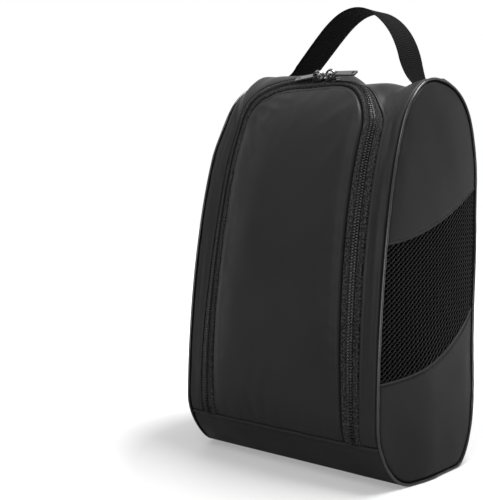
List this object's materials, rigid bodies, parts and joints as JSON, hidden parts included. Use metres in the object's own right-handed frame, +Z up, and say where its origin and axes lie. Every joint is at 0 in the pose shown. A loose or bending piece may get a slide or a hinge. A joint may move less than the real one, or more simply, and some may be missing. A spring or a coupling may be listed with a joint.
{
  "type": "shoe bag",
  "caption": "Upright black golf shoe bag with a zipped drop-down front door, piped side panels with net vents and a webbing carry handle.",
  "frame": {"origin": "middle of the footprint, on the surface the bag stands on", "axes": "+Z up, -Y towards the zipped door at the front, +X to the bag's right when seen from the front"},
  "size_m": [0.2232, 0.1711, 0.4219],
  "materials": {
    "shell": "satin",
    "lining": "matte",
    "net": "matte",
    "binding": "matte",
    "piping": "gloss",
    "webbing": "matte",
    "zip_tape": "matte",
    "zip_coil": "satin",
    "slider_metal": "gloss",
    "board": "matte",
    "foam": "matte"
  },
  "bodies": {
    "bag": {"front_surround": "shell", "surround_lining": "lining", "back_panel": "shell", "back_lining": "lining", "base_panel": "shell", "base_board": "board", "base_lining": "lining", "side_upper_left": "shell", "side_upper_right": "shell", "net_vent_left": "net", "net_vent_right": "net", "side_lower_left": "shell", "side_lower_right": "shell", "piping_left": "piping", "piping_right": "piping", "seam_binding_left": "binding", "seam_binding_right": "binding", "zip_tape_bag": "zip_tape", "zip_teeth_bag": "zip_coil", "handle_end_left": "webbing", "handle_end_right": "webbing"},
    "door": {"door_panel": "shell", "door_padding": "foam", "door_lining": "lining", "zip_tape_door": "zip_tape", "zip_teeth_door": "zip_coil"},
    "slider_left": {"slider_left": "slider_metal"},
    "slider_right": {"slider_right": "slider_metal"},
    "pull_left": {"pull_left": "slider_metal"},
    "pull_right": {"pull_right": "slider_metal"},
    "handle": {"handle_strap": "webbing"}
  },
  "joints": [
    {"name": "door_swing", "type": "hinge", "parent": "bag", "child": "door", "pos_m": [0, -0.07831, 0.037], "axis": [1, 0, 0], "range_deg": [0, 100], "deforming": ["zip_tape_door", "zip_teeth_door"]},
    {"name": "slider_left_run", "type": "slide", "parent": "bag", "child": "slider_left", "axis": [-1, 0, 0], "range_m": [0, 0.0265], "deforming": ["zip_tape_bag", "zip_teeth_bag", "zip_tape_door", "zip_teeth_door"]},
    {"name": "slider_right_run", "type": "slide", "parent": "bag", "child": "slider_right", "axis": [1, 0, 0], "range_m": [0, 0.0065], "deforming": ["zip_tape_bag", "zip_teeth_bag", "zip_tape_door", "zip_teeth_door"]},
    {"name": "pull_left_swing", "type": "hinge", "parent": "slider_left", "child": "pull_left", "pos_m": [0.0025, -0.02254, 0.35187], "axis": [0, 0.8151, 0.5793], "range_deg": [0, 140]},
    {"name": "pull_right_swing", "type": "hinge", "parent": "slider_right", "child": "pull_right", "pos_m": [0.0175, -0.02254, 0.35187], "axis": [0, -0.8151, -0.5793], "range_deg": [0, 140]},
    {"name": "handle_swing", "type": "hinge", "parent": "bag", "child": "handle", "pos_m": [0, 0.041, 0.368], "axis": [1, 0, 0], "range_deg": [-75, 45], "stiffness_Nm_per_rad": 0.05, "deforming": ["handle_end_left", "handle_end_right"]}
  ]
}
